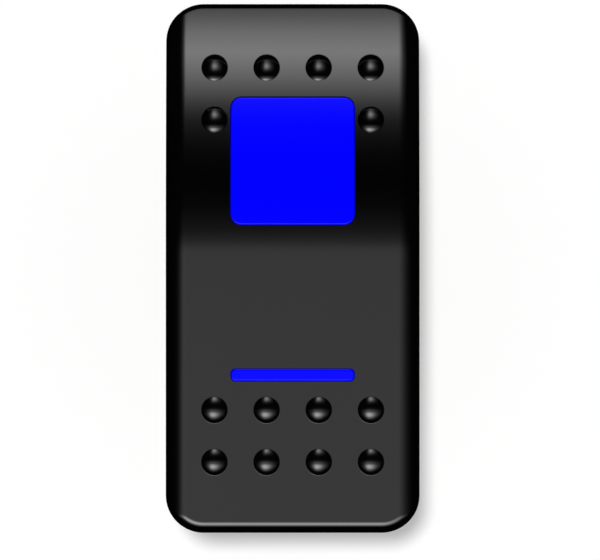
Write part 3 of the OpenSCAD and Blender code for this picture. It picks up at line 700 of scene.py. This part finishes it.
class DressMetal(bpy.types.Operator):
    """Give the terminals, contacts, blades, wires, springs and the pin their metals"""

    bl_idname = "switch.dress_metal"
    bl_label = "Metal"

    def execute(self, context):
        paint = context.scene.switch_finishes
        strip = metal("rolled_brass", paint.brass, (0.22, 0.36))
        copper = metal("rolled_copper", paint.copper, (0.25, 0.4), stretch=(1, 0.04, 1))
        silver = metal("turned_silver", paint.silver, (0.2, 0.3), stretch=(1, 1, 1), scale=3000)
        steel = metal("ground_steel", paint.steel, (0.16, 0.26), stretch=(0.04, 1, 1))
        wire = metal("tinned_wire", (0.68, 0.69, 0.70), (0.25, 0.38))
        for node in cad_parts:
            if node.startswith("terminal_") and node != "terminal_base":
                finish(softened(node, 0.00008), strip, node, body="housing", slot="terminal_metal")
            elif node.endswith("contact_blade"):
                dress(node, copper)
            elif node.endswith(("moving_contact", "fixed_contact")):
                dress(node, silver)
            elif node.endswith("_lead"):
                dress(node, wire)
            elif node == "pivot_pin":
                dress(node, steel)
            elif node.endswith("_spring"):
                make_spring(node, steel, context.scene.rocker_shape.travel / 2)
        return {"FINISHED"}


class DressInside(bpy.types.Operator):
    """Give the saddle, plungers, light guides, lamps and resistors their finishes"""

    bl_idname = "switch.dress_inside"
    bl_label = "Inside"

    def execute(self, context):
        paint = context.scene.switch_finishes
        saddle = moulded("saddle_moulding", paint.saddle, (0.42, 0.55))
        plunger = moulded("plunger_plastic", paint.plunger, (0.35, 0.45), grain=2200, relief=4e-6,
                          strength=0.2, spread=0.05)
        lacquer = moulded("resistor_lacquer", paint.resistor, (0.25, 0.35), grain=1800,
                          relief=5e-6, strength=0.3, spread=0.08)
        guide = clear_plastic("clear_guide", paint.clear)
        resin = clear_plastic("lamp_resin", paint.clear, (0.03, 0.08))
        for node, look in (
            ("saddle", saddle), ("left_plunger", plunger), ("right_plunger", plunger),
            ("upper_light_guide", guide), ("lower_light_guide", guide), ("upper_lamp", resin),
            ("lower_lamp", resin), ("upper_resistor", lacquer), ("lower_resistor", lacquer),
        ):
            dress(node, look)
        return {"FINISHED"}


# brightness of the light tent: angle from straight up towards the upper end, and strength
TENT = (
    (-90, 0.0), (-62, 0.0), (-56, 0.046), (-50, 0.435), (-44, 1.225), (-38, 2.747), (-32.6, 4.35),
    (-27, 4.922), (-23.6, 4.865), (-18, 3.663), (-12.6, 1.788), (-8, 0.873), (-4.5, 0.616),
    (0, 0.602), (3.6, 0.214), (7.3, 0.08), (14, 0.017), (22, 0.0), (28, 0.01), (31.3, 0.021),
    (34.6, 0.047), (37.7, 0.083), (41, 0.144), (44, 0.288), (47.4, 0.565), (52.4, 1.21),
    (57.6, 1.894), (64.6, 2.662), (72, 1.945), (75.8, 1.413), (78.9, 1.024), (84, 0.665),
    (88, 0.43), (90, 0.256),
)
# how narrow the tent is at the same angle, and where its middle lies
NARROW = ((-90, 1.8), (-16, 1.8), (-6, 1.3), (10, 1.3), (55, 2.8), (90, 2.8))
MIDDLE = ((-90, 0.06), (-16, 0.06), (-6, 0.02), (10, 0), (55, -0.03), (90, -0.03))
# share of that strength: distance aside as a part of the height, and share
SIDE_FADE = (
    (-2.5, 0), (-2.0, 0), (-1.5, 0.02), (-1.2, 0.07), (-0.95, 0.2), (-0.8, 0.33), (-0.65, 0.58),
    (-0.5, 0.83), (-0.35, 0.95), (-0.2, 1), (-0.05, 0.97), (0.1, 0.88), (0.3, 0.72), (0.5, 0.54),
    (0.75, 0.34), (1.1, 0.15), (1.45, 0.07), (1.8, 0.03), (2.3, 0), (2.5, 0),
)
TENT_RADIUS = 3.0
STAGE_SIDES = 64


def read_table(g, value, table, low=0.0, high=1.0):
    """What a table says at a value, straight between its rows, for results from low to high."""
    start, end = table[0][0], table[-1][0]
    spots = [((x - start) / (end - start), (y - low) / (high - low)) for x, y in table]
    node = g.add("ShaderNodeFloatCurve")
    line = node.mapping.curves[0]
    line.points[0].location, line.points[-1].location = spots[0], spots[-1]
    for spot in spots[1:-1]:
        line.points.new(*spot)
    for point in line.points:
        point.handle_type = "VECTOR"
    node.mapping.update()
    g.link(g.spread(value, start, end), node.inputs["Value"])
    return g.maths("ADD", g.maths("MULTIPLY", node.outputs[0], high - low), low)


def stage_rings(name, radii, heights, inwards):
    """A round stage piece from the radius and height of each of its rings, closed at the first."""
    a = np.linspace(0, 2 * np.pi, STAGE_SIDES, endpoint=False)
    points = np.stack([radii[:, None] * np.cos(a), radii[:, None] * np.sin(a),
                       np.repeat(heights[:, None], STAGE_SIDES, 1)], -1).reshape(-1, 3)
    turn = 1 if inwards else -1
    quads = ring_quads(len(radii), STAGE_SIDES)[:, ::turn].tolist()
    return make_piece(name, points, quads + [list(range(STAGE_SIDES))[::-turn]])


def unseen_by(piece, *rays):
    """Hides a stage piece from the given kinds of light."""
    for ray in rays:
        setattr(piece, "visible_" + ray, False)


def make_floor():
    """White floor under the lowest point, which is dark further off where only gloss sees it."""
    radii = np.array([0.001, 0.1, 0.5, 1.5, 4.0])
    floor = stage_rings("floor", radii, np.full(len(radii), CAD_BOX[0][2]), inwards=False)
    g = graph_for("floor_white")
    ray = g.add("ShaderNodeLightPath")
    paper = g.set(g.add("ShaderNodeBsdfDiffuse"), Color=(0.7, 0.7, 0.7, 1))
    glow, both = g.add("ShaderNodeEmission"), g.add("ShaderNodeAddShader")
    g.link(g.maths("MULTIPLY", g.seen(ray), 0.33), glow.inputs["Strength"])
    g.link(paper.outputs[0], both.inputs[0])
    g.link(glow.outputs[0], both.inputs[1])
    span = g.add("ShaderNodeVectorMath", operation="LENGTH")
    g.link(g.at("Object"), span.inputs[0])
    far = g.spread(span.outputs["Value"], 0.19, 0.25, interpolation_type="SMOOTHSTEP")
    black = g.set(g.add("ShaderNodeBsdfDiffuse"), Color=(0, 0, 0, 1))
    pick = g.add("ShaderNodeMixShader")
    g.link(g.maths("MULTIPLY", far, ray.outputs["Is Glossy Ray"]), pick.inputs["Fac"])
    g.link(both.outputs[0], pick.inputs[1])
    g.link(black.outputs[0], pick.inputs[2])
    g.link(pick.outputs[0], g.surface)
    floor.data.materials.append(g.owner)
    return floor


def make_tent():
    """Light tent: half a ball that only gloss and clear pieces see, lit as its tables say.

    The angle from straight up gives the strength, and the distance aside over the height fades it.
    """
    t = np.linspace(0.02, np.pi / 2, 24)
    tent = stage_rings("light_tent", TENT_RADIUS * np.sin(t), TENT_RADIUS * np.cos(t), inwards=True)
    unseen_by(tent, "camera", "diffuse", "shadow", "volume_scatter")
    g = graph_for("tent_cloth")
    split = g.add("ShaderNodeSeparateXYZ")
    g.link(g.at("Object"), split.inputs[0])
    tilt = g.maths("DEGREES", g.maths("ARCTAN2", split.outputs["Y"], split.outputs["Z"]))
    height = g.maths("MULTIPLY", g.maths("MAXIMUM", split.outputs["Z"], 0.0), 0.5)
    aside = g.maths("DIVIDE", split.outputs["X"], g.maths("ADD", height, TENT_RADIUS / 2))
    moved = g.maths("ADD", aside, read_table(g, tilt, MIDDLE, -1.0, 1.0))
    narrowed = g.maths("MULTIPLY", moved, read_table(g, tilt, NARROW, 0.0, 3.0))
    strength = read_table(g, tilt, TENT, 0.0, max(v for _, v in TENT))
    light = g.add("ShaderNodeEmission")
    g.link(g.maths("MULTIPLY", strength, read_table(g, narrowed, SIDE_FADE)),
           light.inputs["Strength"])
    g.link(light.outputs[0], g.surface)
    tent.data.materials.append(g.owner)
    return tent


def make_collar(s):
    """Dark collar round the cap, which only gloss sees: a dish from the foot of its rounding.

    It goes straight out from the cap's outline, and rises by most of the rounding's radius, and
    aside of the rolling half up to the flat's level.
    """
    across, along, rings, wide, clear = 41, 81, 12, 0.02, 0.04 * MM
    x, y = plan_grid(s.width, s.depth, s.corner, across, along)
    edge = np.stack([x.ravel(), y.ravel()], 1)[grid_outline(along, across)]
    limit = np.array([s.width / 2 - s.corner, s.depth / 2 - s.corner])
    out = edge - np.clip(edge, -limit, limit)
    out /= np.linalg.norm(out, axis=1, keepdims=True)
    top = face_surface(s, 0.0, (s.side_edge, s.lower_edge, s.upper_edge))
    flush = face_surface(s, 0.0)(edge[:, 0], edge[:, 1], None)
    foot = top(edge[:, 0], edge[:, 1], np.zeros(len(edge))) - 0.03 * MM
    # how far the way out points aside, all of it from 0.6 on
    aside = np.clip(np.abs(out[:, 0]) / 0.6, 0, 1) ** 2
    brim = foot + 0.85 * (flush - foot) + aside * 0.9 * (s.face - flush)
    share = np.linspace(0, 1, rings)[:, None]
    flat = edge[None] + (clear + wide * share)[..., None] * out[None]
    heights = foot + share * (brim - foot)
    points = np.concatenate([flat, heights[..., None]], -1).reshape(-1, 3)
    collar = make_piece("dark_collar", points, ring_quads(rings, len(foot))[:, ::-1])
    unseen_by(collar, "camera", "diffuse", "shadow", "transmission", "volume_scatter")
    g = graph_for("collar_velvet")
    velvet = g.set(g.add("ShaderNodeBsdfDiffuse"), Color=(0, 0, 0, 1))
    g.link(velvet.outputs[0], g.surface)
    collar.data.materials.append(g.owner)
    return collar


def make_lamp(scene):
    """Lamp from above, a little to the upper left."""
    lamp = bpy.data.lights.new("key", "SUN")
    lamp.energy, lamp.angle = 0.75 * math.pi, math.radians(2.6)
    key = bpy.data.objects.new("key", lamp)
    scene.collection.objects.link(key)
    key.rotation_euler = (math.radians(-2.25), math.radians(-1.3), 0)
    key.visible_glossy = False


def make_world(scene):
    """Soft light all round, and white for what the camera, gloss and clear pieces see."""
    scene.world = scene.world or bpy.data.worlds.new("studio")
    g = Graph(scene.world, "ShaderNodeOutputWorld")
    soft, white = [g.set(g.add("ShaderNodeBackground"), Color=(1, 1, 1, 1), Strength=strength)
                   for strength in (0.25, 1.0)]
    mix = g.add("ShaderNodeMixShader")
    g.link(g.seen(g.add("ShaderNodeLightPath")), mix.inputs["Fac"])
    g.link(soft.outputs[0], mix.inputs[1])
    g.link(white.outputs[0], mix.inputs[2])
    g.link(mix.outputs[0], g.surface)


def make_camera(scene):
    """Camera straight above the face, with a long lens: how far away, and how much is seen."""
    away, seen, film = 1.5, 0.05686, 36.0
    eye = bpy.data.cameras.new("camera")
    eye.sensor_width = film
    eye.lens = film * away / seen
    eye.clip_start, eye.clip_end = 0.01, 20.0
    camera = bpy.data.objects.new("camera", eye)
    scene.collection.objects.link(camera)
    camera.location = (0.000695, -0.00117, scene.rocker_shape.face + away)
    scene.camera = camera


class MakeStage(bpy.types.Operator):
    """Build the floor, the tent and collar that gloss sees, the lamp, the world and the camera"""

    bl_idname = "switch.make_stage"
    bl_label = "Stage"

    def execute(self, context):
        scene = context.scene
        make_floor()
        make_tent()
        make_collar(scene.rocker_shape)
        make_lamp(scene)
        make_world(scene)
        make_camera(scene)
        scene.view_settings.view_transform = "Standard"
        return {"FINISHED"}


class SwitchPanel(bpy.types.Panel):
    """Lists the switch's pieces and sizes."""

    bl_idname = "VIEW3D_PT_rocker_switch"
    bl_label = "Rocker switch"
    bl_space_type = "VIEW_3D"
    bl_region_type = "UI"
    bl_category = "Rocker switch"

    def draw(self, context):
        for operator in OPERATORS:
            self.layout.operator(operator.bl_idname)
        for group in (context.scene.rocker_shape, context.scene.switch_finishes):
            column = self.layout.column()
            for name in group.bl_rna.properties.keys():
                if name not in ("rna_type", "name"):
                    column.prop(group, name)


OPERATORS = (MakeCap, MakeGripDomes, MakeLenses, DressHousing, DressMetal, DressInside, MakeStage)
CLASSES = (RockerShape, Finishes, *OPERATORS, SwitchPanel)


def register():
    """Registers the classes and puts their sizes and colours on the scene."""
    for item in CLASSES:
        bpy.utils.register_class(item)
    bpy.types.Scene.rocker_shape = bpy.props.PointerProperty(type=RockerShape)
    bpy.types.Scene.switch_finishes = bpy.props.PointerProperty(type=Finishes)


def unregister():
    """Takes away what register puts there."""
    del bpy.types.Scene.switch_finishes
    del bpy.types.Scene.rocker_shape
    for item in reversed(CLASSES):
        bpy.utils.unregister_class(item)


def main():
    """Builds every piece in order."""
    register()
    bpy.ops.switch.make_cap()
    bpy.ops.switch.make_grip_domes()
    bpy.ops.switch.make_lenses()
    bpy.ops.switch.dress_housing()
    bpy.ops.switch.dress_metal()
    bpy.ops.switch.dress_inside()
    bpy.ops.switch.make_stage()


if __name__ == "__main__":
    main()
